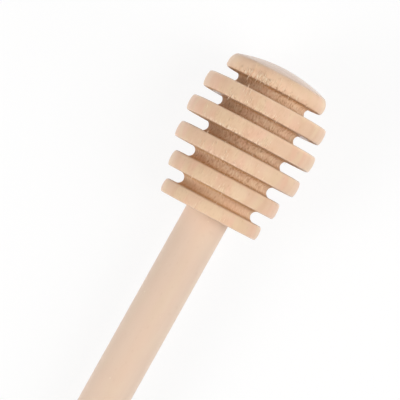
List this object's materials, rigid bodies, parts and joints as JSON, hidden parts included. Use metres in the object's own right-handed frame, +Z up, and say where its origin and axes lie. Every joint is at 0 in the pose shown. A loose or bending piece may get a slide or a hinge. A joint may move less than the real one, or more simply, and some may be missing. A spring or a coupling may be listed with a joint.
{
  "type": "honey dipper",
  "caption": "Wooden honey dipper: a turned, domed head with round-bottomed grooves between its discs, glued on a plain round handle and lying on its side.",
  "frame": {"origin": "centre of the bounding box's base, on the table that the dipper lies on", "axes": "+X along the lying dipper towards its head, +Z up from the table"},
  "size_m": [0.1602, 0.0298, 0.0298],
  "materials": {
    "head_beech": "pale beech, turned and left bare, with torn grain at the disc edges",
    "handle_beech": "pale beech stick, sanded smooth and left bare"
  },
  "bodies": {
    "root": {"head": "head_beech", "handle": "handle_beech"}
  },
  "joints": []
}
